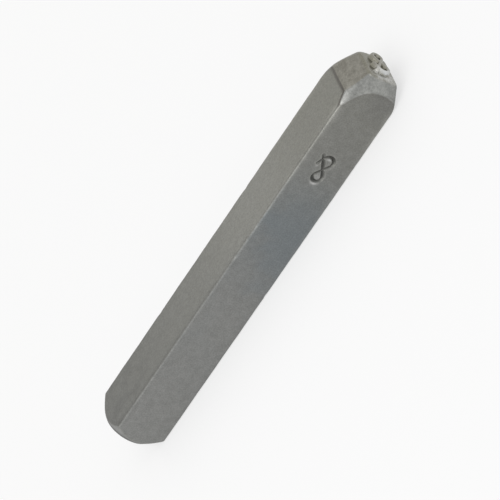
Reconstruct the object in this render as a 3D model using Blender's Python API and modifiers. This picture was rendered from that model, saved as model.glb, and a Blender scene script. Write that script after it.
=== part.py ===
"""Hand letter punch: a square tool steel bar with a turned head at one end and a
raised mirrored character on the ground-down other end.  Metres, +Z up.

The bar lies on one of its flat sides along X.  Its struck head is at -X, its letter
end at +X, and the side that carries the stamped mark faces -Y.
"""

import math

import bmesh
import bpy
from mathutils import Matrix, Vector

MM = 0.001

# The square bar
BAR_WIDTH = 7.0 * MM
BAR_EDGE_BREAK = 0.28 * MM
BAR_EDGE_SEGMENTS = 3
OVERALL_LENGTH = 58.7 * MM

# The struck head: a flat face with a turned chamfer behind it
HEAD_FACE_DIAMETER = 6.2 * MM
HEAD_CHAMFER_ANGLE = math.radians(45.0)

# The letter end: ground down on four sides to the character's floor.  The upper and lower
# sides are flat, and the front and back ones are also crowned about a lower middle line
FLOOR_WIDTH = 4.0 * MM
FLOOR_DEPTH = 5.4 * MM
END_SHIFT_DOWN = 0.28 * MM
FLAT_ANGLE = math.radians(28.0)
CROWN_SHIFT_DOWN = 0.60 * MM
CROWN_RADIUS = 6.0 * MM
CROWN_HALF_SWEEP = math.radians(63.0)
CROWN_STEPS = 21
CROWNED_ANGLE = math.radians(24.0)

# The raised character, near the back edge of its floor
CHARACTER_HEIGHT = 4.0 * MM
CHARACTER_RELIEF = 0.50 * MM
CHARACTER_SHIFT_BACK = 0.40 * MM
CREST_WIDTH = 0.34 * MM
RELIEF_SLOPE = math.radians(20.0)
ROOT_DEPTH = 0.35 * MM

# The same character stamped into the side
MARK_DEPTH = 0.27 * MM
MARK_SLOPE = math.radians(44.0)
MARK_FROM_CREST = 13.98 * MM
MARK_SHIFT_UP = 0.44 * MM
MARK_CLEARANCE = 0.20 * MM

# Proportions of the ampersand, as shares of its height
UPPER_LOOP_RADIUS = 0.171
UPPER_LOOP_SHIFT = -0.038
LOWER_BOWL_RADIUS = 0.21
LOWER_BOWL_SHIFT = -0.056
FOOT_REACH = 0.232
TAIL_ANGLE = math.radians(-28.0)
TAIL_LENGTH = 0.26
ARC_STEP = math.radians(18.0)

TURNED_STEPS = 96
BEYOND = 4.0 * MM
COLLECTION_NAME = "letter_punch_parts"
CUTTER_COLLECTION_NAME = "letter_punch_cutters"


def clear_scene():
    """Remove every object, so that the script can be run again."""
    for item in list(bpy.data.objects):
        bpy.data.objects.remove(item, do_unlink=True)


def make_collection(name):
    collection = bpy.data.collections.new(name)
    bpy.context.scene.collection.children.link(collection)
    return collection


def make_steel():
    """Satin tool steel with a neutral grey, slightly warm colour."""
    material = bpy.data.materials.new("tool_steel")
    material.use_nodes = True
    shader = material.node_tree.nodes["Principled BSDF"]
    shader.inputs["Base Color"].default_value = (0.21, 0.21, 0.20, 1.0)
    shader.inputs["Metallic"].default_value = 0.85
    shader.inputs["Roughness"].default_value = 0.45
    return material


def add_object(name, mesh, collection):
    item = bpy.data.objects.new(name, mesh)
    collection.objects.link(item)
    return item


def add_cutter(name, mesh, collection):
    """A shape that only cuts or joins, shown as wire and left out of renders."""
    cutter = add_object(name, mesh, collection)
    cutter.display_type = "WIRE"
    cutter.hide_render = True
    return cutter


def apply_boolean(item, operation, other):
    modifier = item.modifiers.new(other.name, "BOOLEAN")
    modifier.operation = operation
    modifier.solver = "EXACT"
    modifier.object = other


def box_mesh(name, low, high):
    """A closed box between two corners."""
    low, high = Vector(low), Vector(high)
    shape = bmesh.new()
    size = high - low
    placing = Matrix.Translation((low + high) / 2) @ Matrix.Diagonal((*size, 1.0))
    bmesh.ops.create_cube(shape, size=1.0, matrix=placing)
    mesh = bpy.data.meshes.new(name)
    shape.to_mesh(mesh)
    shape.free()
    return mesh


def turned_cutter(name, profile, axis_origin, collection):
    """Turn a profile of (radius, height) points about an axis that runs along +X."""
    shape = bmesh.new()
    points = [shape.verts.new((radius, 0.0, height)) for radius, height in profile]
    for first, second in zip(points, points[1:]):
        shape.edges.new((first, second))
    mesh = bpy.data.meshes.new(name)
    shape.to_mesh(mesh)
    shape.free()
    cutter = add_cutter(name, mesh, collection)
    screw = cutter.modifiers.new("turn", "SCREW")
    screw.steps = TURNED_STEPS
    screw.render_steps = TURNED_STEPS
    screw.use_merge_vertices = True
    screw.merge_threshold = 0.00001
    cutter.rotation_euler = (0.0, math.pi / 2, 0.0)
    cutter.location = axis_origin
    return cutter


def on_circle(centre, radius, angle):
    return Vector((centre.x + radius * math.cos(angle), centre.y + radius * math.sin(angle)))


def arc_points(centre, radius, start, sweep):
    steps = max(2, round(abs(sweep) / ARC_STEP))
    return [on_circle(centre, radius, start + sweep * n / steps) for n in range(steps + 1)]


def ampersand_strokes(height):
    """The middle lines of an ampersand's two strokes, upright and centred on the origin.

    One runs from the foot clockwise over the upper loop, almost to the place where the other
    leaves it.  The other crosses the first on its way down to the lower bowl, and again on
    its way up to the end of the tail.
    """
    upper_radius = UPPER_LOOP_RADIUS * height
    lower_radius = LOWER_BOWL_RADIUS * height
    foot = Vector((FOOT_REACH * height, -height / 2))
    upper = Vector((UPPER_LOOP_SHIFT * height, height / 2 - upper_radius))
    lower = Vector((LOWER_BOWL_SHIFT * height, lower_radius - height / 2))

    to_upper = upper - foot
    rising = math.atan2(to_upper.y, to_upper.x) + math.asin(upper_radius / to_upper.length)
    to_lower = lower - upper
    drop = math.asin((upper_radius + lower_radius) / to_lower.length)
    falling = math.atan2(to_lower.y, to_lower.x) - drop

    loop_start = rising + math.pi / 2
    loop_end = falling + math.pi / 2
    bowl_start = falling - math.pi / 2
    bowl_end = TAIL_ANGLE
    loop = arc_points(upper, upper_radius, loop_start, loop_end - ARC_STEP - loop_start)
    bowl = arc_points(lower, lower_radius, bowl_start, bowl_end - bowl_start)
    tail_end = on_circle(bowl[-1], TAIL_LENGTH * height, bowl_end + math.pi / 2)
    return {
        "loop": [foot, *loop],
        "bowl": [on_circle(upper, upper_radius, loop_end), *bowl, tail_end],
    }


def stroke_mesh(name, path, section):
    """Sweep a closed section of (across, up) points along a flat path."""
    def poly_curve(curve_name, points, closed):
        data = bpy.data.curves.new(curve_name, "CURVE")
        data.dimensions = "3D"
        data.twist_mode = "Z_UP"
        spline = data.splines.new("POLY")
        spline.points.add(len(points) - 1)
        for target, point in zip(spline.points, points):
            target.co = (point[0], point[1], 0.0, 1.0)
        spline.use_cyclic_u = closed
        return data

    section_data = poly_curve(name + "_section", section, True)
    section_data.dimensions = "2D"
    section_item = bpy.data.objects.new(name + "_section", section_data)
    path_data = poly_curve(name + "_path", path, False)
    path_data.bevel_mode = "OBJECT"
    path_data.bevel_object = section_item
    path_data.use_fill_caps = True
    path_item = bpy.data.objects.new(name + "_path", path_data)
    for item in (section_item, path_item):
        bpy.context.scene.collection.objects.link(item)
    depsgraph = bpy.context.evaluated_depsgraph_get()
    mesh = bpy.data.meshes.new_from_object(path_item.evaluated_get(depsgraph))
    mesh.name = name
    for item in (path_item, section_item):
        bpy.data.objects.remove(item, do_unlink=True)
    shape = bmesh.new()
    shape.from_mesh(mesh)
    bmesh.ops.remove_doubles(shape, verts=shape.verts, dist=0.000001)
    bmesh.ops.recalc_face_normals(shape, faces=shape.faces)
    shape.to_mesh(mesh)
    shape.free()
    return mesh


def make_head_turning(collection):
    """The outside of the struck head, open towards the letter end."""
    head_radius = HEAD_FACE_DIAMETER / 2
    outer_radius = BAR_WIDTH
    chamfer_length = (outer_radius - head_radius) / math.tan(HEAD_CHAMFER_ANGLE)
    far_end = OVERALL_LENGTH + 2 * BEYOND
    profile = [
        (0.0, far_end),
        (outer_radius, far_end),
        (outer_radius, chamfer_length),
        (head_radius, 0.0),
        (0.0, 0.0),
    ]
    start = Vector((-OVERALL_LENGTH / 2, 0.0, BAR_WIDTH / 2))
    return turned_cutter("head_turning", profile, start, collection)


def letter_end_middle():
    """The point where the letter end's own middle line meets the character's floor."""
    floor_level = OVERALL_LENGTH / 2 - CHARACTER_RELIEF
    return Vector((floor_level, 0.0, BAR_WIDTH / 2 - END_SHIFT_DOWN))


def swept_cutter(name, outline, along, collection):
    """The solid that a flat outline makes when it moves straight along a vector."""
    shape = bmesh.new()
    face = shape.faces.new([shape.verts.new(point) for point in outline])
    swept = bmesh.ops.extrude_face_region(shape, geom=[face])
    moved = [item for item in swept["geom"] if isinstance(item, bmesh.types.BMVert)]
    bmesh.ops.translate(shape, verts=moved, vec=along)
    bmesh.ops.recalc_face_normals(shape, faces=shape.faces)
    mesh = bpy.data.meshes.new(name)
    shape.to_mesh(mesh)
    shape.free()
    return add_cutter(name, mesh, collection)


def make_end_flats(collection):
    """The floor and the two flat sides that spread from it, carried right across the bar."""
    half_floor = FLOOR_WIDTH / 2
    reach = BAR_WIDTH
    length = reach / math.tan(FLAT_ANGLE)
    head = -OVERALL_LENGTH - BEYOND
    outline = [
        (0.0, -BAR_WIDTH, half_floor),
        (-length, -BAR_WIDTH, half_floor + reach),
        (head, -BAR_WIDTH, half_floor + reach),
        (head, -BAR_WIDTH, -half_floor - reach),
        (-length, -BAR_WIDTH, -half_floor - reach),
        (0.0, -BAR_WIDTH, -half_floor),
    ]
    flats = swept_cutter("end_flats", outline, Vector((0.0, 2 * BAR_WIDTH, 0.0)), collection)
    flats.location = letter_end_middle()
    return flats


def make_end_crown(side, collection):
    """One crowned side of the letter end, with everything behind it: side -1 is the front."""
    ahead = BEYOND
    back = OVERALL_LENGTH + BEYOND
    spread = math.tan(CROWNED_ANGLE)
    half_depth = FLOOR_DEPTH / 2 - ahead * spread
    middle = Vector((CROWN_RADIUS - half_depth, CROWN_SHIFT_DOWN - END_SHIFT_DOWN))
    far_side = 2 * OVERALL_LENGTH
    arc = []
    for step in range(CROWN_STEPS + 1):
        turn = CROWN_HALF_SWEEP * (2 * step / CROWN_STEPS - 1)
        arc.append(on_circle(middle, CROWN_RADIUS, math.pi + turn))
    profile = [*arc, Vector((far_side, arc[-1].y)), Vector((far_side, arc[0].y))]
    outline = [(ahead, -side * point.x, -point.y) for point in profile]
    along = Vector((-ahead - back, side * (ahead + back) * spread, 0.0))
    name = "end_front" if side < 0 else "end_back"
    crown = swept_cutter(name, outline, along, collection)
    crown.location = letter_end_middle()
    return crown


def make_raised_character(collection):
    """The character in relief, mirrored so that it prints the right way round."""
    base_half = CREST_WIDTH / 2 + (CHARACTER_RELIEF + ROOT_DEPTH) * math.tan(RELIEF_SLOPE)
    section = [
        (-CREST_WIDTH / 2, 0.0),
        (CREST_WIDTH / 2, 0.0),
        (base_half, -CHARACTER_RELIEF - ROOT_DEPTH),
        (-base_half, -CHARACTER_RELIEF - ROOT_DEPTH),
    ]
    # Drawn in XY: its up goes to +Y, its right to -Z and its crest to +X
    facing = Matrix(((0, 0, 1), (0, 1, 0), (-1, 0, 0)))
    strokes = []
    for name, path in ampersand_strokes(CHARACTER_HEIGHT - CREST_WIDTH).items():
        mirrored = [Vector((-point.x, point.y)) for point in path]
        mesh = stroke_mesh("raised_" + name, mirrored, section)
        stroke = add_cutter(mesh.name, mesh, collection)
        stroke.rotation_euler = facing.to_euler()
        crest = Vector((CHARACTER_RELIEF, CHARACTER_SHIFT_BACK, 0.0))
        stroke.location = letter_end_middle() + crest
        strokes.append(stroke)
    return strokes


def make_side_mark(collection):
    """A V-shaped groove along the same character, upright when the letter end is down."""
    top_half = (MARK_DEPTH + MARK_CLEARANCE) * math.tan(MARK_SLOPE)
    section = [(-top_half, MARK_CLEARANCE), (top_half, MARK_CLEARANCE), (0.0, -MARK_DEPTH)]
    # Drawn in XY: its up goes to -X, its right to +Z and its outside to -Y
    facing = Matrix(((0, -1, 0), (0, 0, -1), (1, 0, 0)))
    middle = OVERALL_LENGTH / 2 - MARK_FROM_CREST
    grooves = []
    for name, path in ampersand_strokes(CHARACTER_HEIGHT - CREST_WIDTH).items():
        mesh = stroke_mesh("mark_" + name, path, section)
        groove = add_cutter(mesh.name, mesh, collection)
        groove.rotation_euler = facing.to_euler()
        groove.location = (middle, -BAR_WIDTH / 2, BAR_WIDTH / 2 + MARK_SHIFT_UP)
        grooves.append(groove)
    return grooves


def make_bar(collection):
    """The square bar, longer than the punch, with its long edges broken."""
    half = OVERALL_LENGTH / 2 + BEYOND
    side = BAR_WIDTH / 2
    mesh = box_mesh("letter_punch", (-half, -side, 0.0), (half, side, BAR_WIDTH))
    bar = add_object("letter_punch", mesh, collection)
    lengthwise = mesh.attributes.new("bevel_weight_edge", "FLOAT", "EDGE")
    for edge in mesh.edges:
        first, second = (mesh.vertices[index].co for index in edge.vertices)
        lengthwise.data[edge.index].value = 1.0 if abs(first.x - second.x) > half else 0.0
    bevel = bar.modifiers.new("edge_break", "BEVEL")
    bevel.limit_method = "WEIGHT"
    bevel.width = BAR_EDGE_BREAK
    bevel.segments = BAR_EDGE_SEGMENTS
    return bar


def make_punch():
    parts = make_collection(COLLECTION_NAME)
    cutters = make_collection(CUTTER_COLLECTION_NAME)
    punch = make_bar(parts)
    punch.data.materials.append(make_steel())
    apply_boolean(punch, "INTERSECT", make_head_turning(cutters))
    apply_boolean(punch, "INTERSECT", make_end_flats(cutters))
    for side in (-1, 1):
        apply_boolean(punch, "INTERSECT", make_end_crown(side, cutters))
    for stroke in make_raised_character(cutters):
        apply_boolean(punch, "UNION", stroke)
    for groove in make_side_mark(cutters):
        apply_boolean(punch, "DIFFERENCE", groove)


clear_scene()
make_punch()
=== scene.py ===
"""Looks of a steel letter punch: its satin sides with their rubbed edges, the ground-down
letter end, the stamped mark, and a plain pale studio."""

import math

import bpy
import numpy as np
from mathutils import Matrix, Vector, geometry


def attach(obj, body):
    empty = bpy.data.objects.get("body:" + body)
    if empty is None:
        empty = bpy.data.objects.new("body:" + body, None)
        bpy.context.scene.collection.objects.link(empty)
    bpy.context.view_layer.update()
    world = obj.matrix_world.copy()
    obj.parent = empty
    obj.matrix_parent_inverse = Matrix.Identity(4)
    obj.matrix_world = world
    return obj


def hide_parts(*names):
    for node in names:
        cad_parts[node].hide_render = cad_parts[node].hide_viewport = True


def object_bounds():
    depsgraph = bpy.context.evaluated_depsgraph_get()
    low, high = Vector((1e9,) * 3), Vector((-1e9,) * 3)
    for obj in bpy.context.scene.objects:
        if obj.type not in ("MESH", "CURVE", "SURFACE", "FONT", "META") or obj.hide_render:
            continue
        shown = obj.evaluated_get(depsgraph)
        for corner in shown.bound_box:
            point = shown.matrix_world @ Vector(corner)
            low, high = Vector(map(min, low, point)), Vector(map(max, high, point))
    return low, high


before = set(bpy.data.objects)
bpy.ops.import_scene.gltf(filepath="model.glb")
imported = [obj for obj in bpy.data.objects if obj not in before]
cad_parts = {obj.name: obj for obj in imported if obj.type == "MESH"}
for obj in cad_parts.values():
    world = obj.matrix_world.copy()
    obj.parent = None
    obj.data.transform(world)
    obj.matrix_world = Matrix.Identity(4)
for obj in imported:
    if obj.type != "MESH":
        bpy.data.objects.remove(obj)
cad_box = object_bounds()

# The punch is worked out in millimetres: along the bar, across it, and up from its middle line.
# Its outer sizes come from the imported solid, which lies on the floor with its middle over the origin.
MM = 0.001
HALF_BAR = round(cad_box[1][2] / MM / 2, 3)
HEAD_END = round(cad_box[0][0] / MM, 3)
CREST = round(cad_box[1][0] / MM, 3)
LIFT = HALF_BAR

# The marked side stands back a little, so that the burr on it stays inside the bar's width
MARKED_SIDE = 3.47
HEAD_FACE_RADIUS = 3.1
HEAD_CHAMFER = math.radians(45.0)
HEAD_BLEND = 0.08

# The long edges' rounding, the waves that vary it (share, turn per millimetre and start of
# each), and how much rounder the edges are worn near the letter
EDGE_ROUND = 0.40
EDGE_WAVE = 0.018
EDGE_WAVES = ((1.0, 0.9, 0.6), (0.6, 2.3, 2.0), (0.4, 5.1, 0.0))
EDGE_WEAR = 0.05
EDGE_WEAR_SPAN = (12.0, 23.0)

# The letter end: how far its floor reaches each way, and how its four sides lean and curve
RELIEF = 0.5
FLOOR = CREST - RELIEF
FLOOR_TOP = 1.87
FLOOR_BOTTOM = -2.28
FLOOR_FRONT = 2.7
FLOOR_BACK = 2.9
UPPER_FLAT_ANGLE = math.radians(26.5)
LOWER_FLAT_ANGLE = math.radians(19.0)
FRONT_ANGLE = math.radians(24.0)
BACK_ANGLE = math.radians(22.0)
LEAN_PAST_FLOOR = 0.3
CROWN_MIDDLE = -0.60
FRONT_LOWER_CROWN = 0.027
FRONT_UPPER_CROWN = 0.042
BACK_CROWN = 0.036
CROWN_POWER = 2.6

# How far the letter end's corners are rounded, and how much more at the back and the tip
SIDE_BLEND = 0.20
SIDE_BLEND_AT_BACK = 0.20
FLAT_BLEND = 0.20
FLAT_BLEND_AT_TIP = 0.25
FLAT_BLEND_AT_BACK = 0.30
FLOOR_BLEND = 0.50
BACK_FULL = 2.0
TIP_FROM = 25.5

# The ampersand's height, and its proportions as shares of it
GLYPH_HEIGHT = 3.66
UPPER_LOOP = 0.171
UPPER_SHIFT = -0.038
LOWER_BOWL = 0.21
BOWL_SHIFT = -0.056
FOOT_REACH = 0.232
TAIL_ANGLE = math.radians(-28.0)
TAIL_LENGTH = 0.26
LOOP_POINTS = 40
BOWL_POINTS = 60

# The raised letter, which is mirrored: the place of its middle, and its strokes' section
LETTER_BACK = 0.46
LETTER_UP = -0.28
CREST_HALF = 0.17
FLANK = math.radians(20.0)
ROOT_BLEND = 0.16
CREST_BLEND = 0.12

# The stamped mark: the place of its middle, its groove, and the burr line, the line of painted highlight
# and the rubbed line beside the groove, each given by how far it is from the groove's edge and how wide it
# is
MARK_MIDDLE = (15.37, 0.44)
MARK_DEPTH = 0.27
MARK_HALF = 0.26
GROOVE_POWER = 0.85
GROOVE_DARK_REACH = 1.15
BURR_HEIGHT = 0.028
BURR_LINE = (0.09, 0.10)
LIT_LINE = (0.10, 0.16)
RUBBED_LINE = (0.08, 0.09)

# The painted highlight on the mark: how narrowly it keeps to the head's side of a stroke, inside the bowl
# and elsewhere, how much of it lies inside the upper loop, and how far it reaches into the groove
BOWL_NARROWING = 3.0
LIT_NARROWING = 8.0
LIT_OVERLAP = 0.06
LOOP_LIGHT = 0.40
LOOP_LIGHT_REACH = 0.34
LOOP_LIGHT_OVERLAP = 0.10

# Where the mark was struck more lightly, up the side and along the bar, and how much
LIGHT_STRIKE_UP = (0.85, 1.35)
TAIL_UNTIL = (15.9, 16.4)
FOOT_FROM = (16.4, 17.1)
TAIL_LOSS = 0.55
FOOT_LOSS = 0.35

# The rings along the bar: from, to, how many. The head's are measured from the head's end, a
# nick's from the nick, the rim's down from the floor, and the struck face's are shares of its outline.
HEAD_FIRST_RING = 0.03
HEAD_RINGS = (0.1, 2.1, 30)
BODY_RINGS = (-27.0, 12.4, 90)
NICK_RINGS = (-0.42, 0.42, 9)
MARK_RINGS = (12.75, 17.95, 44)
NECK_RINGS = (18.4, 23.4, 11)
END_RINGS = (23.5, FLOOR - 0.45, 60)
RIM_RINGS = (0.38, 0.32, 0.26, 0.21, 0.17, 0.13, 0.10)
STRUCK_FACE_RINGS = (0.985, 0.95, 0.9, 0.8, 0.68, 0.56, 0.44, 0.32, 0.2, 0.08)

# The lengthwise lines: how many there are on the marked side, the upper one, each plain one
# and each rounded edge, and how far the first one on a flat side is from the edge
MARKED_COLUMNS = 53
UPPER_COLUMNS = 45
PLAIN_COLUMNS = 33
EDGE_COLUMNS = 7
BESIDE_EDGE = 0.03

# The window in the marked side that the mark's own finer mesh fills
WINDOW_ALONG = MARK_RINGS[:2]
WINDOW_UP = (-1.32, 2.15)

# The finer meshes: lines of points at these distances from the strokes' middle lines, a
# coarser grid that starts clear of them, and the margin left inside the mesh's own outline
LINE_SPACING = 0.055
MARK_LINES = (0.0, 0.05, 0.10, 0.15, 0.20, 0.235, 0.26, 0.29, 0.33, 0.38, 0.44, 0.52)
MARK_GRID = 0.11
MARK_CLEAR = 0.58
MARK_MARGIN = 0.05
LETTER_LINES = (0.0, 0.08, 0.13, 0.16, 0.185, 0.21, 0.24, 0.27, 0.30, 0.33, 0.37, 0.42, 0.50)
LETTER_GRID = 0.07
LETTER_CLEAR = 0.55
LETTER_MARGIN = 0.04

# How rubbed the edges are, and over what width: the long edges, which are wider near the letter, the
# outline of the ground end, the corners between its sides, and the head's rim. On the ground end's outline
# and corners the brightness is a painted highlight.
LONG_EDGE_WEAR = 0.9
LONG_EDGE_WIDTH = 0.44
LONG_EDGE_WIDENING = 0.14
LONG_EDGE_WIDER_SPAN = (14.0, 24.0)
END_OUTLINE_HIGHLIGHT = 0.25
END_OUTLINE_WIDTH = 0.07
END_CORNER_HIGHLIGHT = 0.6
END_CORNER_WIDTH = 0.10
END_CORNER_OVERLAP = 0.05
END_CORNER_UNTIL = 28.4
END_CORNER_FADE = 3.0
HEAD_RIM_WIDTH = 0.12
CHAMFER_EDGE_WIDTH = 0.06

# How far down from the floor its own colour starts, and where it is full
FLOOR_COLOUR_FROM = 0.34
FLOOR_COLOUR_FULL = 0.04

# Small nicks where the long edges were knocked: place along the bar, front (-1) or back edge,
# lower (-1) or upper edge, depth and reach
NICKS = (
    (0.27, -1, 1, 0.23, 0.26),
    (3.1, -1, 1, 0.17, 0.22),
    (5.3, -1, 1, 0.11, 0.24),
    (1.7, -1, 1, 0.09, 0.18),
    (-8.6, -1, 1, 0.07, 0.25),
    (11.2, -1, 1, 0.06, 0.30),
    (-19.5, -1, 1, 0.09, 0.22),
    (-25.6, -1, 1, 0.08, 0.20),
    (6.0, 1, 1, 0.10, 0.28),
    (-14.2, 1, 1, 0.08, 0.24),
    (-3.5, -1, -1, 0.11, 0.26),
    (17.3, -1, -1, 0.07, 0.22),
    (-22.0, 1, -1, 0.10, 0.26),
)
NICK_LENGTH = 1.3


# Curves that the shapes and the finish share

def between(value, low, high):
    """Rises smoothly from nought at one value to 1 at the other."""
    share = np.clip((value - low) / (high - low), 0.0, 1.0)
    return share * share * (3 - 2 * share)


def close_to(gap, width):
    """1 where the gap is nought, fading out over a width on both sides."""
    return np.exp(-((gap / width) ** 2))


def smooth_max(first, second, reach):
    """The larger of two distances, with the corner between them rounded."""
    overlap = np.maximum(reach - np.abs(first - second), 0.0) / reach
    return np.maximum(first, second) + overlap * overlap * reach / 4


# The ampersand

def on_circle(centre, radius, angle):
    """The points of a circle at the given angles."""
    return np.stack([centre[0] + radius * np.cos(angle), centre[1] + radius * np.sin(angle)], -1)


def ampersand(height):
    """The middle lines of the ampersand's two strokes as (right, up) points."""
    upper_radius = UPPER_LOOP * height
    lower_radius = LOWER_BOWL * height
    foot = np.array((FOOT_REACH * height, -height / 2))
    upper = np.array((UPPER_SHIFT * height, height / 2 - upper_radius))
    lower = np.array((BOWL_SHIFT * height, lower_radius - height / 2))
    to_upper = upper - foot
    rising = math.atan2(to_upper[1], to_upper[0]) + math.asin(upper_radius / np.hypot(*to_upper))
    to_lower = lower - upper
    drop = math.asin((upper_radius + lower_radius) / np.hypot(*to_lower))
    falling = math.atan2(to_lower[1], to_lower[0]) - drop
    over = np.linspace(rising + math.pi / 2, falling + math.pi / 2, LOOP_POINTS)
    loop = on_circle(upper, upper_radius, over)
    under = np.linspace(falling - math.pi / 2, TAIL_ANGLE, BOWL_POINTS)
    bowl = on_circle(lower, lower_radius, under)
    tail_end = on_circle(bowl[-1], TAIL_LENGTH * height, TAIL_ANGLE + math.pi / 2)
    return [np.vstack([foot, loop]), np.vstack([loop[-1], bowl, tail_end])]


def evenly(path, spacing):
    """The path again, with points at one spacing along it."""
    steps = np.hypot(*np.diff(path, axis=0).T)
    along = np.concatenate([[0.0], np.cumsum(steps)])
    wanted = np.linspace(0.0, along[-1], max(2, round(along[-1] / spacing) + 1))
    return np.stack([np.interp(wanted, along, path[:, n]) for n in (0, 1)], -1)


def stroke_distance(points, strokes):
    """How far each point is from the nearest stroke."""
    nearest = np.full(len(points), np.inf)
    for stroke in strokes:
        for start, end in zip(stroke, stroke[1:]):
            line = end - start
            share = np.clip((points - start) @ line / (line @ line), 0.0, 1.0)
            gap = points - start - share[:, None] * line
            nearest = np.minimum(nearest, np.hypot(gap[:, 0], gap[:, 1]))
    return nearest


def head_side(points, strokes):
    """Near 1 on the side of the strokes towards the head, and nought on the other side."""
    step = 0.02
    ahead = stroke_distance(points + (step, 0.0), strokes)
    behind = stroke_distance(points - (step, 0.0), strokes)
    return np.clip((behind - ahead) / (2 * step), 0.0, 1.0)


def contour_points(strokes, distances, spacing):
    """Points on lines at set distances round the strokes, so that the mesh follows them."""
    found = []
    for stroke in strokes:
        path = evenly(stroke, spacing)
        along = np.gradient(path, axis=0)
        along /= np.hypot(along[:, 0], along[:, 1])[:, None]
        across = np.stack([-along[:, 1], along[:, 0]], -1)
        for distance in distances:
            for side in (1.0, -1.0):
                found.append((path + side * distance * across, distance))
            for end, heading in ((path[0], -along[0]), (path[-1], along[-1])):
                start = math.atan2(heading[1], heading[0])
                count = max(3, round(math.pi * distance / spacing))
                fan = start + np.linspace(-math.pi / 2, math.pi / 2, count + 2)[1:-1]
                found.append((on_circle(end, distance, fan), distance))

    # A point that is nearer to another part of the strokes than its own line's distance goes
    slack = 0.004
    kept = []
    for points, distance in found:
        kept.append(points[stroke_distance(points, strokes) > distance - slack])
    return np.vstack(kept)


# The outside of the bar and its two worked ends

def rounded_oblong(across, up, half_across, half_up, corner):
    """How far each point is outside an oblong with rounded corners."""
    gap_across = np.abs(across) - (half_across - corner)
    gap_up = np.abs(up) - (half_up - corner)
    outside = np.hypot(np.maximum(gap_across, 0.0), np.maximum(gap_up, 0.0))
    return outside + np.minimum(np.maximum(gap_across, gap_up), 0.0) - corner


def edge_round_at(along):
    """The long edges are rounded a little more in some places than in others."""
    wave = sum(share * np.sin(along * rate + start) for share, rate, start in EDGE_WAVES)
    return EDGE_ROUND + EDGE_WAVE * wave + EDGE_WEAR * between(along, *EDGE_WEAR_SPAN)


def bar_outside(along, across, up):
    """How far each point is outside the bar's four long sides."""
    middle = (HALF_BAR - MARKED_SIDE) / 2
    half_across = (HALF_BAR + MARKED_SIDE) / 2
    return rounded_oblong(across - middle, up, half_across, HALF_BAR, edge_round_at(along))


def head_outside(along, across, up):
    """How far each point is outside the head's turned chamfer."""
    beyond_face = np.hypot(across, up) - HEAD_FACE_RADIUS
    return (beyond_face - (along - HEAD_END) * math.tan(HEAD_CHAMFER)) * math.cos(HEAD_CHAMFER)


def end_sides(along, across, up):
    """How far each point is outside the crowned and the flat sides of the letter end."""
    below = np.maximum(FLOOR - along, -LEAN_PAST_FLOOR)
    front = across < 0
    lean = np.where(front, math.tan(FRONT_ANGLE), math.tan(BACK_ANGLE))
    reach = np.where(front, FLOOR_FRONT, FLOOR_BACK) + below * lean
    crown = np.where(up > CROWN_MIDDLE, FRONT_UPPER_CROWN, FRONT_LOWER_CROWN)
    crown = np.where(front, crown, BACK_CROWN)
    off_middle = np.abs(up - CROWN_MIDDLE)
    curve = crown * CROWN_POWER * off_middle ** (CROWN_POWER - 1)
    drop = crown * off_middle ** CROWN_POWER
    crowned = (np.abs(across) - reach + drop) / np.sqrt(1 + lean ** 2 + curve ** 2)
    upper = (up - FLOOR_TOP - below * math.tan(UPPER_FLAT_ANGLE)) * math.cos(UPPER_FLAT_ANGLE)
    lower = (FLOOR_BOTTOM - below * math.tan(LOWER_FLAT_ANGLE) - up) * math.cos(LOWER_FLAT_ANGLE)
    return crowned, np.maximum(upper, lower)


def punch_outside(along, across, up):
    """Negative inside the punch, positive outside it, about a distance in millimetres."""
    crowned, flat = end_sides(along, across, up)
    behind = between(across, 0.0, BACK_FULL)
    side_blend = SIDE_BLEND + SIDE_BLEND_AT_BACK * behind
    body = smooth_max(bar_outside(along, across, up), crowned, side_blend)
    for place, side, top, depth, reach in NICKS:
        gap_along = (along - place) / NICK_LENGTH
        gap = np.sqrt(gap_along ** 2 + (across - side * HALF_BAR) ** 2 + (up - top * HALF_BAR) ** 2)
        body = body + depth * close_to(gap, reach)
    tip = between(along, TIP_FROM, FLOOR)
    flat_blend = FLAT_BLEND + FLAT_BLEND_AT_TIP * tip + FLAT_BLEND_AT_BACK * behind * tip
    worked = smooth_max(body, flat, flat_blend)
    worked = smooth_max(worked, along - FLOOR, FLOOR_BLEND)
    return smooth_max(worked, head_outside(along, across, up), HEAD_BLEND)


def find_surface(inner, outer, is_inside, halvings):
    """Halves the way from an inner to an outer place until it is at the surface."""
    for _ in range(halvings):
        middle = (inner + outer) / 2
        inside = is_inside(middle)
        inner = np.where(inside, middle, inner)
        outer = np.where(inside, outer, middle)
    return (inner + outer) / 2


def end_height(across, up):
    """Where the letter end's rounded top is along the bar, at each place across it."""
    deep = np.full_like(across, FLOOR - 3.0)
    clear = np.full_like(across, FLOOR + 0.1)
    return find_surface(deep, clear, lambda along: punch_outside(along, across, up) < 0, halvings=30)


def surface_radius(angle, along):
    """How far the surface is from the bar's middle line at each angle and place along it."""
    middle_line = np.zeros_like(angle)
    clear = np.full_like(angle, 6.0)

    def is_inside(radius):
        return punch_outside(along, radius * np.cos(angle), radius * np.sin(angle)) < 0

    return find_surface(middle_line, clear, is_inside, halvings=40)


# The letter's relief and the stamped mark

def letter_relief(distance, floor):
    """How high the raised letter stands over the floor, which is lower near its own edge."""
    straight = RELIEF - (distance - CREST_HALF) / math.tan(FLANK)
    rooted = smooth_max(straight, floor, ROOT_BLEND)
    return -smooth_max(-rooted, np.full_like(rooted, -RELIEF), CREST_BLEND)


def mark_strength(spots):
    """The mark's tail and foot were struck more lightly than the rest."""
    to_front = between(spots[:, 1], *LIGHT_STRIKE_UP)
    tail = to_front * (1 - between(spots[:, 0], *TAIL_UNTIL))
    foot = to_front * between(spots[:, 0], *FOOT_FROM)
    return 1 - TAIL_LOSS * tail - FOOT_LOSS * foot


def beside_groove(distance, from_edge, width):
    """1 on a line that runs round the mark's strokes, fading out on both sides of it."""
    return close_to(distance - MARK_HALF - from_edge, width)


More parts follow.
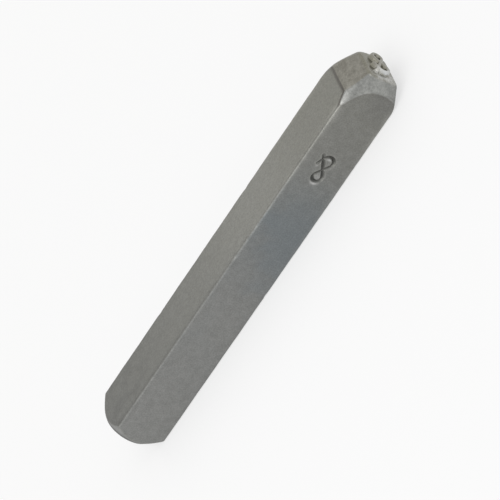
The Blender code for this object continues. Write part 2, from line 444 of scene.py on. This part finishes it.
def mark_groove(distance, strength):
    """How far the stamped mark goes in, with the burr that it pushes up beside it."""
    across = distance / MARK_HALF
    groove = -MARK_DEPTH * strength * np.clip(1.0 - across, 0.0, 1.0) ** GROOVE_POWER
    burr = BURR_HEIGHT * beside_groove(distance, *BURR_LINE)
    return np.where(distance < MARK_HALF, groove + burr * across, burr)


def mark_light(spots, distance, head_side_share):
    """Where the painted highlight lies: on the pushed-up metal beside the mark's strokes, and between them.
    """
    middle = np.array(MARK_MIDDLE)
    loop = middle + GLYPH_HEIGHT * np.array((UPPER_LOOP - 0.5, UPPER_SHIFT))
    bowl = middle + GLYPH_HEIGHT * np.array((0.5 - LOWER_BOWL, BOWL_SHIFT))
    in_bowl = np.hypot(*(spots - bowl).T) < LOWER_BOWL * GLYPH_HEIGHT
    narrowing = np.where(in_bowl, BOWL_NARROWING, LIT_NARROWING)
    beside = beside_groove(distance, *LIT_LINE) * (distance > MARK_HALF - LIT_OVERLAP)
    beside = beside * head_side_share ** narrowing * mark_strength(spots)
    inside_loop = LOOP_LIGHT * close_to(np.hypot(*(spots - loop).T), LOOP_LIGHT_REACH)
    return np.maximum(beside, inside_loop * (distance > MARK_HALF - LOOP_LIGHT_OVERLAP))


def place_mark(flat, strokes):
    """The points of the marked side, pressed in and pushed up by the mark."""
    groove = mark_groove(stroke_distance(flat, strokes), mark_strength(flat))
    return np.stack([flat[:, 0], -MARKED_SIDE - groove, flat[:, 1]], -1)


def place_letter(flat, strokes):
    """The points of the letter end's floor, with the letter raised on it."""
    floor = end_height(flat[:, 0], flat[:, 1]) - FLOOR
    relief = letter_relief(stroke_distance(flat, strokes), floor)
    return np.stack([FLOOR + relief, flat[:, 0], flat[:, 1]], -1)


# The mesh

class Skin:
    """Collects the punch's points, faces and the finish of each point."""

    def __init__(self):
        self.points = []
        self.faces = []
        self.finishes = {}
        self.count = 0

    def add(self, points):
        """Adds points and gives their numbers."""
        first = self.count
        self.points.append(np.asarray(points, float))
        self.count += len(points)
        return np.arange(first, self.count)

    def join_rings(self, first, second, skipped=()):
        """A band of four-sided faces between two closed rings, apart from those skipped."""
        for n in range(len(first)):
            if n not in skipped:
                following = (n + 1) % len(first)
                self.faces.append((first[n], first[following], second[following], second[n]))

    def all_points(self):
        return np.vstack(self.points)

    def give(self, name, numbers, values):
        """Sets one finish for some of the points; it is nought for the others."""
        self.finishes[name] = (numbers, values)

    def finish_values(self, name):
        numbers, given = self.finishes[name]
        values = np.zeros(self.count)
        values[numbers] = given
        return values


def side_columns():
    """The angles of the lengthwise lines, close together over the edges."""
    flat = HALF_BAR - EDGE_ROUND
    beside_edge = flat - BESIDE_EDGE
    turn = np.linspace(0.0, math.pi / 2, EDGE_COLUMNS + 2)[1:-1]
    # How far each line over an edge is from the side before it and from the side after it
    edge = EDGE_ROUND * np.stack([1 - np.cos(turn), 1 - np.sin(turn)], -1)

    def side(count):
        return np.concatenate([[-flat], np.linspace(-beside_edge, beside_edge, count), [flat]])

    # Once round: up the marked side, over the upper one, down the back and forward underneath
    marked = [(-MARKED_SIDE, up) for up in side(MARKED_COLUMNS)]
    parts = [
        marked,
        [(before - MARKED_SIDE, HALF_BAR - after) for before, after in edge],
        [(across, HALF_BAR) for across in side(UPPER_COLUMNS)],
        [(HALF_BAR - after, HALF_BAR - before) for before, after in edge],
        [(HALF_BAR, up) for up in side(PLAIN_COLUMNS)[::-1]],
        [(HALF_BAR - before, after - HALF_BAR) for before, after in edge],
        [(across, -HALF_BAR) for across in side(PLAIN_COLUMNS)[::-1]],
        [(after - MARKED_SIDE, before - HALF_BAR) for before, after in edge],
    ]
    ring = np.array([point for part in parts for point in part])
    return np.arctan2(ring[:, 1], ring[:, 0]), len(marked)


def ring_places():
    """Where the rings stand along the bar: close together at the ends and round the mark."""
    head = HEAD_END + np.concatenate([[HEAD_FIRST_RING], np.linspace(*HEAD_RINGS)])
    body = np.linspace(*BODY_RINGS)
    near_nicks = [place + np.linspace(*NICK_RINGS) for place, *_ in NICKS if place < body[-1]]
    body = np.unique(np.round(np.concatenate([body, *near_nicks]), 2))
    others = [np.linspace(*rings) for rings in (MARK_RINGS, NECK_RINGS, END_RINGS)]
    return np.concatenate([head, body, *others, FLOOR - np.array(RIM_RINGS)])


def inside_box(points, low, high, margin):
    """The points that lie inside a box by at least a margin."""
    inside = (points > low + margin) & (points < high - margin)
    return points[np.all(inside, axis=1)]


def inside_outline(points, outline, middle, margin):
    """The points that lie inside a closed outline that goes once round its middle."""
    outward = outline - middle
    turned = np.arctan2(outward[:, 1], outward[:, 0])
    order = np.argsort(turned)
    reach = np.hypot(outward[:, 0], outward[:, 1])
    offset = points - middle
    angle = np.arctan2(offset[:, 1], offset[:, 0])
    limit = np.interp(angle, turned[order], reach[order], period=2 * math.pi)
    return points[np.hypot(offset[:, 0], offset[:, 1]) < limit - margin]


def grid_points(low, high, spacing, strokes, clear):
    """A grid with every other row shifted by half a step, kept clear of the strokes."""
    across = np.arange(low[0], high[0], spacing)
    up = np.arange(low[1], high[1], spacing)
    found = np.stack(np.meshgrid(across, up), -1).reshape(-1, 2)
    found[:, 0] += (np.round(found[:, 1] / spacing) % 2) * spacing / 2
    return found[stroke_distance(found, strokes) > clear]


def fill_patch(skin, rim, boundary, inner, place):
    """Fills a rim with small triangles, and gives the new points' numbers and flat spots."""
    inside_only = 1
    merge_gap = 1e-6
    flat = [Vector(point) for point in np.vstack([boundary, inner])]
    edges = [(n, (n + 1) % len(boundary)) for n in range(len(boundary))]
    points, _, faces, sources, _, _ = geometry.delaunay_2d_cdt(flat, edges, [], inside_only, merge_gap)
    number = np.full(len(points), -1)
    fresh = []
    for n, source in enumerate(sources):
        outer = [s for s in source if s < len(boundary)]
        if outer:
            number[n] = rim[outer[0]]
        else:
            fresh.append(n)
    spots = np.array([points[n][:] for n in fresh])
    added = skin.add(place(spots))
    number[fresh] = added
    for face in faces:
        skin.faces.append(tuple(number[n] for n in face))
    return added, spots


def add_sides(skin):
    """The bar and the letter end's sides as rings, with the rim of the mark's window."""
    angles, marked_count = side_columns()
    places = ring_places()
    grid_angle, grid_place = np.meshgrid(angles, places)
    radius = surface_radius(grid_angle, grid_place)
    ring_points = np.stack([grid_place, radius * np.cos(grid_angle), radius * np.sin(grid_angle)], -1)
    rings = [skin.add(points) for points in ring_points]

    first_ring, last_ring = np.searchsorted(places, WINDOW_ALONG).tolist()
    heights = ring_points[first_ring, :marked_count, 2]
    low_column, high_column = np.searchsorted(heights, WINDOW_UP).tolist()
    window = range(low_column, high_column)
    for n, (first, second) in enumerate(zip(rings, rings[1:])):
        skin.join_rings(first, second, window if first_ring <= n < last_ring else ())
    rim = [rings[n][low_column] for n in range(first_ring, last_ring)]
    rim += [rings[last_ring][m] for m in window]
    rim += [rings[n][high_column] for n in range(last_ring, first_ring, -1)]
    rim += [rings[first_ring][m] for m in range(high_column, low_column, -1)]
    return rings, np.array(rim)


def add_mark(skin, rim):
    """The stamped mark in its window, and where it is sunk, pushed up and lit."""
    along, up = MARK_MIDDLE
    strokes = [np.stack([along - path[:, 1], up + path[:, 0]], -1) for path in ampersand(GLYPH_HEIGHT)]
    boundary = skin.all_points()[rim][:, [0, 2]]
    low, high = boundary.min(0), boundary.max(0)
    lines = contour_points(strokes, MARK_LINES, LINE_SPACING)
    grid = grid_points(low, high, MARK_GRID, strokes, MARK_CLEAR)
    inner = inside_box(np.vstack([lines, grid]), low, high, MARK_MARGIN)
    added, spots = fill_patch(skin, rim, boundary, inner, lambda flat: place_mark(flat, strokes))
    distance = stroke_distance(spots, strokes)
    sunk = np.clip(GROOVE_DARK_REACH - distance / MARK_HALF, 0.0, 1.0) * mark_strength(spots)
    skin.give("sunk", added, sunk)
    skin.give("burr", added, beside_groove(distance, *RUBBED_LINE))
    skin.give("lit", added, mark_light(spots, distance, head_side(spots, strokes)))


def add_letter(skin, rim):
    """The letter end's floor, rounded towards its edge, with the raised letter."""
    strokes = [
        np.stack([LETTER_BACK + path[:, 1], LETTER_UP + path[:, 0]], -1)
        for path in ampersand(GLYPH_HEIGHT)
    ]
    boundary = skin.all_points()[rim][:, 1:]
    middle = np.array([0.0, (FLOOR_TOP + FLOOR_BOTTOM) / 2])
    lines = contour_points(strokes, LETTER_LINES, LINE_SPACING)
    grid = grid_points(boundary.min(0), boundary.max(0), LETTER_GRID, strokes, LETTER_CLEAR)
    inner = inside_outline(np.vstack([lines, grid]), boundary, middle, LETTER_MARGIN)
    added, spots = fill_patch(skin, rim, boundary, inner, lambda flat: place_letter(flat, strokes))
    raised = letter_relief(stroke_distance(spots, strokes), np.zeros(len(spots)))
    skin.give("letter", added, np.clip(raised / RELIEF, 0.0, 1.0))


def add_struck_face(skin, rim):
    """The flat face that the hammer strikes, as rings that close in on its middle."""
    outline = skin.all_points()[rim]
    last = rim
    for share in STRUCK_FACE_RINGS:
        line = np.column_stack([np.full(len(rim), HEAD_END), outline[:, 1:] * share])
        following = skin.add(line)
        skin.join_rings(last, following)
        last = following
    centre = skin.add([(HEAD_END, 0.0, 0.0)])[0]
    for n in range(len(last)):
        skin.faces.append((last[n], last[(n + 1) % len(last)], centre))


def make_skin():
    skin = Skin()
    rings, window_rim = add_sides(skin)
    add_mark(skin, window_rim)
    add_letter(skin, rings[-1])
    add_struck_face(skin, rings[0])
    return skin


def side_finishes(points):
    """How far the worked ends reach at each point, and how rubbed its edges are, with a painted highlight
    along the ground end's outline and corners.
    """
    along, across, up = points.T
    bar = bar_outside(along, across, up)
    crowned, flat = end_sides(along, across, up)
    head = head_outside(along, across, up)
    end = np.maximum(crowned, flat)
    long_edge = (HALF_BAR - np.abs(across)) + (HALF_BAR - np.abs(up))
    long_edge_width = LONG_EDGE_WIDTH + LONG_EDGE_WIDENING * between(along, *LONG_EDGE_WIDER_SPAN)
    before_floor = between(END_CORNER_UNTIL - along, 0.0, END_CORNER_FADE)
    on_end = (end > bar - END_CORNER_OVERLAP) * before_floor
    head_rim = np.hypot(along - HEAD_END, np.hypot(across, up) - HEAD_FACE_RADIUS)
    # Rubbed edges, and a painted highlight along the ground end's outline and corners
    rubbed = (
        LONG_EDGE_WEAR * close_to(long_edge, long_edge_width)
        + END_OUTLINE_HIGHLIGHT * close_to(end - bar, END_OUTLINE_WIDTH)
        + END_CORNER_HIGHLIGHT * close_to(flat - crowned, END_CORNER_WIDTH) * on_end
        + close_to(head_rim, HEAD_RIM_WIDTH)
    )
    past_struck_face = along > HEAD_END + 0.01
    return {
        "end_step": np.clip(end - bar, -1.0, 1.0),
        "head_step": np.where(past_struck_face, np.clip(head - bar, -1.0, 1.0), -1.0),
        "flat_step": np.clip(flat - crowned, -1.0, 1.0),
        "rubbed": np.clip(rubbed, 0.0, 1.0),
        "rim": close_to(head - bar, CHAMFER_EDGE_WIDTH),
        "floor": between(along, FLOOR - FLOOR_COLOUR_FROM, FLOOR - FLOOR_COLOUR_FULL),
    }


def put(name, data):
    """A new object in the scene."""
    placed = bpy.data.objects.new(name, data)
    bpy.context.scene.collection.objects.link(placed)
    return placed


def make_punch():
    skin = make_skin()
    points = skin.all_points()
    mesh = bpy.data.meshes.new("letter_punch_steel")
    lifted = (points + (0.0, 0.0, LIFT)) * MM
    mesh.from_pydata(lifted.tolist(), [], [tuple(int(n) for n in face) for face in skin.faces])
    finishes = side_finishes(points)
    for name in ("sunk", "burr", "lit", "letter"):
        finishes[name] = skin.finish_values(name)
    for name, values in finishes.items():
        mesh.attributes.new(name, "FLOAT", "POINT").data.foreach_set("value", values.astype(np.float32))
    mesh.validate()
    mesh.shade_smooth()
    made = put("steel_punch", mesh)
    bpy.context.view_layer.objects.active = made
    made.select_set(True)
    bpy.ops.object.mode_set(mode="EDIT")
    bpy.ops.mesh.select_all(action="SELECT")
    bpy.ops.mesh.normals_make_consistent(inside=False)
    bpy.ops.object.mode_set(mode="OBJECT")
    made.select_set(False)
    return made


# Materials

class Value:
    """A socket in a material, which can be added, multiplied and so on like a number."""

    def __init__(self, finish, socket):
        self.finish = finish
        self.socket = socket

    def _maths(self, operation, *inputs):
        return self.finish.node("ShaderNodeMath", {"operation": operation}, dict(enumerate(inputs)))

    def __add__(self, other):
        return self._maths("ADD", self, other)

    __radd__ = __add__

    def __sub__(self, other):
        return self._maths("SUBTRACT", self, other)

    def __rsub__(self, other):
        return self._maths("SUBTRACT", other, self)

    def __mul__(self, other):
        return self._maths("MULTIPLY", self, other)

    __rmul__ = __mul__

    def clamped(self, low=0.0, high=1.0):
        return self.finish.node("ShaderNodeClamp", {}, {"Value": self, "Min": low, "Max": high})

    def smooth(self, low, high):
        """Rises smoothly from nought at one value to 1 at the other."""
        settings = {"interpolation_type": "SMOOTHSTEP"}
        inputs = {"Value": self, "From Min": low, "From Max": high}
        return self.finish.node("ShaderNodeMapRange", settings, inputs)


class Finish:
    """The nodes of a material or of the world, under construction."""

    def __init__(self, made):
        self.made = made
        self.made.use_nodes = True
        self.tree = self.made.node_tree
        self.tree.nodes.clear()

    def node(self, kind, settings=None, inputs=None, output=0):
        """A node of one kind, with its settings and the values or links of its sockets."""
        made = self.tree.nodes.new(kind)
        for name, setting in (settings or {}).items():
            setattr(made, name, setting)
        for name, value in (inputs or {}).items():
            socket = made.inputs[name]
            if isinstance(value, Value):
                self.tree.links.new(value.socket, socket)
            else:
                socket.default_value = value
        return Value(self, made.outputs[output]) if len(made.outputs) else None

    def axis(self, vector, number):
        return self.node("ShaderNodeSeparateXYZ", {}, {"Vector": vector}, number)

    def mix(self, share, first, second, blend="MIX"):
        settings = {"data_type": "RGBA", "blend_type": blend}
        return self.node("ShaderNodeMix", settings, {0: share, 6: first, 7: second}, 2)

    def stretched(self, place, scale):
        return self.node("ShaderNodeVectorMath", {"operation": "MULTIPLY"}, {0: place, 1: scale})

    def noise(self, place, scale, detail, roughness):
        inputs = {"Vector": place, "Scale": scale, "Detail": detail, "Roughness": roughness}
        return self.node("ShaderNodeTexNoise", {"noise_dimensions": "3D"}, inputs)


def grey(level):
    return (level, level, level, 1)


# The bar's dull sides, with painted reflections and painted shade
BAR_DARK = (0.184, 0.186, 0.178, 1)
BAR_LIGHT = (0.238, 0.240, 0.231, 1)
BLUE_PAINTED_REFLECTION = (0.158, 0.184, 0.200, 1)
WARM_PAINTED_REFLECTION = (0.212, 0.208, 0.172, 1)
HEAD_GREY = (0.275, 0.277, 0.268, 1)
UPPER_SHADE = (0.100, 0.101, 0.096, 1)
UPPER_STAIN = (0.095, 0.095, 0.092, 1)
ARCH_SHADE = (0.115, 0.112, 0.118, 1)

# The ground letter end and the head's chamfer, with painted shade on the end's top and foot, a painted
# highlight on the floor and a painted shade line
GROUND_DARK = (0.258, 0.262, 0.249, 1)
GROUND_LIGHT = (0.340, 0.344, 0.327, 1)
GROUND_TOP_PAINTED_SHADE = (0.150, 0.152, 0.146, 1)
GROUND_FOOT_PAINTED_SHADE = (0.190, 0.190, 0.182, 1)
BROWN_DARK = (0.182, 0.174, 0.148, 1)
BROWN_LIGHT = (0.262, 0.253, 0.220, 1)
CHAMFER_RIM = (0.075, 0.075, 0.071, 1)
LETTER_FLOOR = (0.203, 0.195, 0.154, 1)
FLOOR_PAINTED_HIGHLIGHT = (0.50, 0.50, 0.485, 1)
END_PAINTED_SHADE = (0.060, 0.050, 0.044, 1)

# Rubbed edges with painted highlights, the stamped mark, the raised letter with their painted highlights,
# and the specks
RUBBED_EDGE_AND_HIGHLIGHT = (0.39, 0.384, 0.354, 1)
CORNER_PAINTED_HIGHLIGHT = (0.56, 0.555, 0.54, 1)
MARK_PAINTED_HIGHLIGHT = (0.47, 0.47, 0.46, 1)
MARK_BOTTOM = (0.060, 0.058, 0.053, 1)
LETTER_FLANK = (0.38, 0.37, 0.32, 1)
LETTER_CREST = (0.32, 0.31, 0.275, 1)
LETTER_PAINTED_HIGHLIGHT_LOW = (0.68, 0.70, 0.71, 1)
LETTER_PAINTED_HIGHLIGHT_HIGH = (0.64, 0.635, 0.59, 1)
SPECK = (0.07, 0.066, 0.06, 1)

FINISH_NAMES = (
    "end_step", "head_step", "flat_step", "rubbed", "rim", "sunk", "burr", "lit", "letter", "floor"
)


class SteelSurface:
    """What the steel's finish goes by at each spot. Its places are in metres."""

    def __init__(self, steel):
        self.place = steel.node("ShaderNodeTexCoord", output="Object")
        self.along, self.across, self.above = [steel.axis(self.place, n) for n in range(3)]
        self.facing_up = steel.axis(steel.node("ShaderNodeNewGeometry", output="Normal"), 2)
        for name in FINISH_NAMES:
            value = steel.node("ShaderNodeAttribute", {"attribute_name": name}, output="Fac")
            setattr(self, name, value)

        # Grain, from about the bar's width down to a tenth of a millimetre
        self.cloud = steel.noise(self.place, 130.0, 3.0, 0.6)
        self.patch = steel.noise(self.place, 420.0, 2.0, 0.5)
        self.mottle = steel.noise(self.place, 1100.0, 4.0, 0.65)
        self.grain = steel.noise(self.place, 5200.0, 2.0, 0.6)
        self.drawn = steel.noise(steel.stretched(self.place, (0.05, 1.0, 1.0)), 7000.0, 2.0, 0.55)
        self.specks = steel.noise(self.place, 2600.0, 1.0, 0.4).smooth(0.74, 0.80)
        self.grinding = steel.node(
            "ShaderNodeTexWave",
            {"wave_type": "BANDS", "bands_direction": "X"},
            {"Vector": self.place, "Scale": 520.0, "Distortion": 3.0, "Detail": 2.0, "Detail Scale": 1.5},
            1,
        )

        # The ground end, the head's chamfer, the upper side, and the end's flat upper side
        self.worked = self.end_step.smooth(-0.02, 0.03)
        self.turned = self.head_step.smooth(-0.02, 0.03)
        self.upper = self.facing_up.smooth(0.6, 0.9)
        self.facet = self.flat_step.smooth(-0.10, 0.08) * self.facing_up.smooth(0.0, 0.4)

        # The front corner of the floor and the letter, where a highlight is painted
        self.painted_highlight_zone = (1 - self.across.smooth(-0.0020, -0.0002)) * (1 - self.above.smooth(0.0036, 0.0056))

        # Painted shade: a dark line on the bar beside the edge of the ground end, on the upper side most of
        # all
        beside_end = self.end_step.smooth(-0.25, -0.03) * (1 - self.end_step.smooth(0.0, 0.07))
        towards_front = 1 - self.across.smooth(-0.0022, 0.0030) * 0.40
        self.painted_end_shade = beside_end * (0.12 + 0.55 * self.facing_up.smooth(0.5, 0.9) * towards_front)

        # Where the edges are rubbed bright, patchily and less towards the head, with the painted highlight
        # along the ground end's ridges
        patchy = 0.35 + 0.65 * self.patch.smooth(0.35, 0.65)
        wear_and_highlight = self.rubbed * patchy * (0.14 + 0.86 * self.along.smooth(-0.014, 0.020))
        self.wear_and_highlight = (wear_and_highlight * (1 - self.painted_end_shade) + self.burr * 0.35 + self.rim * 0.55).clamped()


def bar_tone(steel, spot):
    """The bar's dull sides: greyer near the head, a painted blue reflection in the middle, a painted warm
    reflection near the letter and on top, and painted shade.
    """
    along = spot.along
    upper = spot.upper
    side = 1 - upper
    tone = steel.mix(spot.mottle.smooth(0.28, 0.72), BAR_DARK, BAR_LIGHT)
    middle = along.smooth(-0.008, 0.004) * (1 - along.smooth(0.008, 0.018))
    # Painted reflection: a bluish tint on the sides in the middle of the bar
    cool = spot.cloud.smooth(0.40, 0.62) * along.smooth(-0.022, 0.002)
    cool = cool * (1 - along.smooth(0.006, 0.016))
    tone = steel.mix((cool * 0.35 + middle * 0.25) * side, tone, BLUE_PAINTED_REFLECTION)
    # Painted reflection: a warm tint towards the letter and on the upper side
    straw = along.smooth(0.004, 0.026) * 0.30 + upper * 0.25
    tone = steel.mix(straw * (0.6 + spot.cloud * 0.8), tone, WARM_PAINTED_REFLECTION)
    head_half = 1 - along.smooth(-0.010, 0.006)
    tone = steel.mix(head_half * side * 0.28, tone, HEAD_GREY)
    near_head = 1 - along.smooth(-0.028, -0.010)
    # Painted shade: the upper side darker, more near the head and less in the middle
    tone = steel.mix(upper * (0.36 + near_head * 0.09 - middle * 0.15), tone, UPPER_SHADE)
    tone = steel.mix(spot.patch.smooth(0.48, 0.62) * upper * near_head * 0.22, tone, UPPER_STAIN)
    # Painted shade on the sides below the ground end's arch
    under_arch = along.smooth(0.0225, 0.0262) * (1 - spot.above.smooth(0.0026, 0.0046)) * side
    return steel.mix(under_arch * 0.20, tone, ARCH_SHADE)


def worked_tone(steel, spot, tone):
    """The letter end, ground after the bar was finished, with painted shade, a painted highlight and a
    painted shade line on it, and the rim of the head's chamfer.
    """
    mottled = spot.mottle.smooth(0.3, 0.7)
    ground = steel.mix(mottled, GROUND_DARK, GROUND_LIGHT)
    # Painted shade on the ground end where it faces up, and towards its foot
    ground = steel.mix(spot.facing_up.smooth(0.10, 0.60) * 0.45, ground, GROUND_TOP_PAINTED_SHADE)
    ground = steel.mix((1 - spot.above.smooth(0.0012, 0.0026)) * 0.40, ground, GROUND_FOOT_PAINTED_SHADE)
    brown = steel.mix(mottled, BROWN_DARK, BROWN_LIGHT)
    tone = steel.mix(spot.worked, tone, steel.mix(spot.facet, ground, brown))
    chamfer_rim = spot.turned * (1 - spot.along.smooth(-0.0291, -0.0286))
    tone = steel.mix(chamfer_rim * 0.75, tone, CHAMFER_RIM)
    tone = steel.mix(spot.floor * 0.85, tone, LETTER_FLOOR)
    # Painted highlight on the front corner of the floor
    painted_highlight_zone = spot.floor * spot.painted_highlight_zone * spot.mottle.smooth(0.30, 0.65)
    tone = steel.mix(painted_highlight_zone * 0.85, tone, FLOOR_PAINTED_HIGHLIGHT)
    # Painted shade line beside the ground end
    return steel.mix(spot.painted_end_shade.clamped(), tone, END_PAINTED_SHADE)


def worn_and_highlit_tone(steel, spot, tone):
    """Rubbed edges, with a painted highlight along the ground end's ridges, and a painted highlight on the
    corner where the bar's front edge meets the ground end.
    """
    near_letter = spot.along.smooth(0.016, 0.024)
    tone = steel.mix(spot.wear_and_highlight * (0.38 + 0.14 * near_letter), tone, RUBBED_EDGE_AND_HIGHLIGHT)
    # Painted highlight on the corner where the bar's front edge meets the ground end
    corner = spot.worked * spot.along.smooth(0.0225, 0.0250) * (1 - spot.across.smooth(-0.0032, -0.0019))
    return steel.mix(corner * spot.above.smooth(0.0060, 0.0069) * 0.18, tone, CORNER_PAINTED_HIGHLIGHT)


def character_tone(steel, spot, tone):
    """The stamped mark, dark in its groove, with a painted highlight beside it, and the raised letter, with
    a painted highlight on its front.
    """
    # Painted highlight beside the mark's strokes and inside its upper loop
    tone = steel.mix(spot.lit, tone, MARK_PAINTED_HIGHLIGHT)
    tone = steel.mix(spot.sunk.smooth(0.30, 1.0) * 0.62, tone, MARK_BOTTOM)
    flank = spot.letter.smooth(0.02, 0.20) * (1 - spot.letter.smooth(0.70, 1.0))
    tone = steel.mix(flank * (1 - spot.painted_highlight_zone) * 0.16, tone, LETTER_FLANK)
    tone = steel.mix(spot.letter.smooth(0.4, 1.0) * 0.45, tone, LETTER_CREST)
    # Painted highlight on the front of the raised letter, bluish lower down
    bright = steel.mix(spot.above.smooth(0.0028, 0.0044), LETTER_PAINTED_HIGHLIGHT_LOW, LETTER_PAINTED_HIGHLIGHT_HIGH)
    return steel.mix(spot.letter.smooth(0.1, 0.6) * spot.painted_highlight_zone * 0.8, tone, bright)


def grained_tone(steel, spot, tone):
    """Specks, the streaks that grinding left on the worked sides, and the finest grain."""
    tone = steel.mix(spot.specks * 0.5, tone, SPECK)
    streaks = steel.mix(spot.grinding * spot.patch.smooth(0.3, 0.7), grey(0.96), grey(1.10))
    tone = steel.mix(spot.worked * (1 - spot.facet) * (1 - spot.floor), tone, streaks, "MULTIPLY")
    grained = steel.mix(spot.grain.smooth(0.25, 0.75), grey(0.87), grey(1.13))
    return steel.mix(1.0, tone, grained, "MULTIPLY")


def steel_roughness(spot):
    rough = 0.44 + (spot.mottle - 0.5) * 0.16 - spot.worked * 0.06 - spot.wear_and_highlight * 0.12 - spot.floor * 0.10
    rough = rough + spot.rubbed * (1 - spot.along.smooth(-0.006, 0.020)) * 0.20
    rough = rough + spot.sunk * 0.12 - spot.letter.smooth(0.05, 0.5) * 0.08
    return rough.clamped(0.15, 0.8)


def steel_height(spot):
    """The fine relief: mottling, lines drawn along the bar, grinding rings and small pits."""
    height = spot.mottle * 0.8 + spot.grain * 0.35 + spot.drawn * (0.45 - spot.worked * 0.35)
    return height + spot.grinding * (spot.worked + spot.turned) * 0.5 - spot.specks * 1.2


def make_steel():
    """Dull ground tool steel, with faint painted warm and blue reflections, painted shade and highlights,
    and lighter rubbed edges.
    """
    steel = Finish(bpy.data.materials.new("satin_tool_steel"))
    spot = SteelSurface(steel)
    tone = bar_tone(steel, spot)
    tone = worked_tone(steel, spot, tone)
    tone = worn_and_highlit_tone(steel, spot, tone)
    tone = character_tone(steel, spot, tone)
    tone = grained_tone(steel, spot, tone)
    relief = {"Strength": 0.35, "Distance": 0.03 * MM, "Height": steel_height(spot)}
    bump = steel.node("ShaderNodeBump", {}, relief)
    shader = steel.node(
        "ShaderNodeBsdfPrincipled",
        {},
        {"Base Color": tone, "Metallic": 0.92, "Roughness": steel_roughness(spot), "Normal": bump},
    )
    steel.node("ShaderNodeOutputMaterial", {}, {"Surface": shader})
    return steel.made


# The studio

# How much of the floor's look is its own glow, half its width in metres, and the light all round
PAPER_GLOW = 0.62
PAPER_HALF = 2.0
WORLD_LIGHT = 0.8
PUNCH_MIDDLE = Vector((0.0, 0.0, LIFT)) * MM

# The photograph's view of the punch, enlarged and with the punch in the middle
CAMERA_PLACE = Vector((184.20, -341.55, 231.23)) * MM
CAMERA_UP = Vector((0.76599, 0.56665, 0.30359))
PHOTO_LENS = 155.3
ENLARGED = 1.72

# Soft lamps that face the punch: place and size in metres, power in watts, colour
LAMPS = {
    "high_front": ((-0.03, -0.25, 0.38), (0.40, 0.15), 0.45, (1.0, 1.0, 1.0)),
    "back_left": ((-0.06, 0.152, 0.115), (0.06, 0.06), 0.012, (1.0, 0.97, 0.86)),
    "low_right": ((0.45, -0.05, 0.08), (0.20, 0.12), 0.12, (1.0, 1.0, 1.0)),
}


def make_paper():
    """The pale floor: white, with the punch's shadow kept."""
    paper = Finish(bpy.data.materials.new("pale_floor"))
    lit = paper.node("ShaderNodeBsdfDiffuse", {}, {"Color": grey(0.9)})
    glow = paper.node("ShaderNodeEmission", {}, {"Color": grey(1), "Strength": 1.0})
    mixed = paper.node("ShaderNodeMixShader", {}, {0: PAPER_GLOW, 1: lit, 2: glow})
    paper.node("ShaderNodeOutputMaterial", {}, {"Surface": mixed})
    return paper.made


def make_floor():
    mesh = bpy.data.meshes.new("floor")
    corners = [(PAPER_HALF * x, PAPER_HALF * y, 0.0) for x, y in ((-1, -1), (1, -1), (1, 1), (-1, 1))]
    mesh.from_pydata(corners, [], [(0, 1, 2, 3)])
    floor = put("floor", mesh)
    floor.data.materials.append(make_paper())


def make_camera():
    back = (CAMERA_PLACE - PUNCH_MIDDLE).normalized()
    right = CAMERA_UP.cross(back).normalized()
    up = back.cross(right)
    data = bpy.data.cameras.new("camera")
    data.sensor_width = 36.0
    data.lens = PHOTO_LENS * ENLARGED
    data.clip_start = 0.01
    camera = put("camera", data)
    turned = Matrix((right, up, back)).transposed().to_4x4()
    camera.matrix_world = Matrix.Translation(CAMERA_PLACE) @ turned
    bpy.context.scene.camera = camera


def add_lamp(name, place, size, power, colour):
    data = bpy.data.lights.new(name, "AREA")
    data.shape = "RECTANGLE"
    data.size, data.size_y = size
    data.energy = power
    data.color = colour
    lamp = put(name, data)
    lamp.location = place
    towards = PUNCH_MIDDLE - Vector(place)
    lamp.rotation_euler = towards.to_track_quat("-Z", "Y").to_euler()


def make_world():
    """A dimmer light all round, that the camera and reflections see as white."""
    studio = Finish(bpy.data.worlds.new("studio"))
    seen = studio.node("ShaderNodeLightPath", output="Is Camera Ray")
    mirrored = studio.node("ShaderNodeLightPath", output="Is Glossy Ray")
    shown = studio.node("ShaderNodeMath", {"operation": "MAXIMUM"}, {0: seen, 1: mirrored})
    levels = {"Value": shown, "To Min": WORLD_LIGHT, "To Max": 1.0}
    strength = studio.node("ShaderNodeMapRange", {}, levels)
    background = studio.node("ShaderNodeBackground", {}, {"Color": grey(1), "Strength": strength})
    studio.node("ShaderNodeOutputWorld", {}, {"Surface": background})
    bpy.context.scene.world = studio.made


bpy.context.scene.view_settings.view_transform = "Standard"
punch = make_punch()
punch.data.materials.append(make_steel())
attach(punch, "root")
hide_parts("letter_punch")
make_floor()
make_camera()
make_world()
for name, lamp in LAMPS.items():
    add_lamp(name, *lamp)
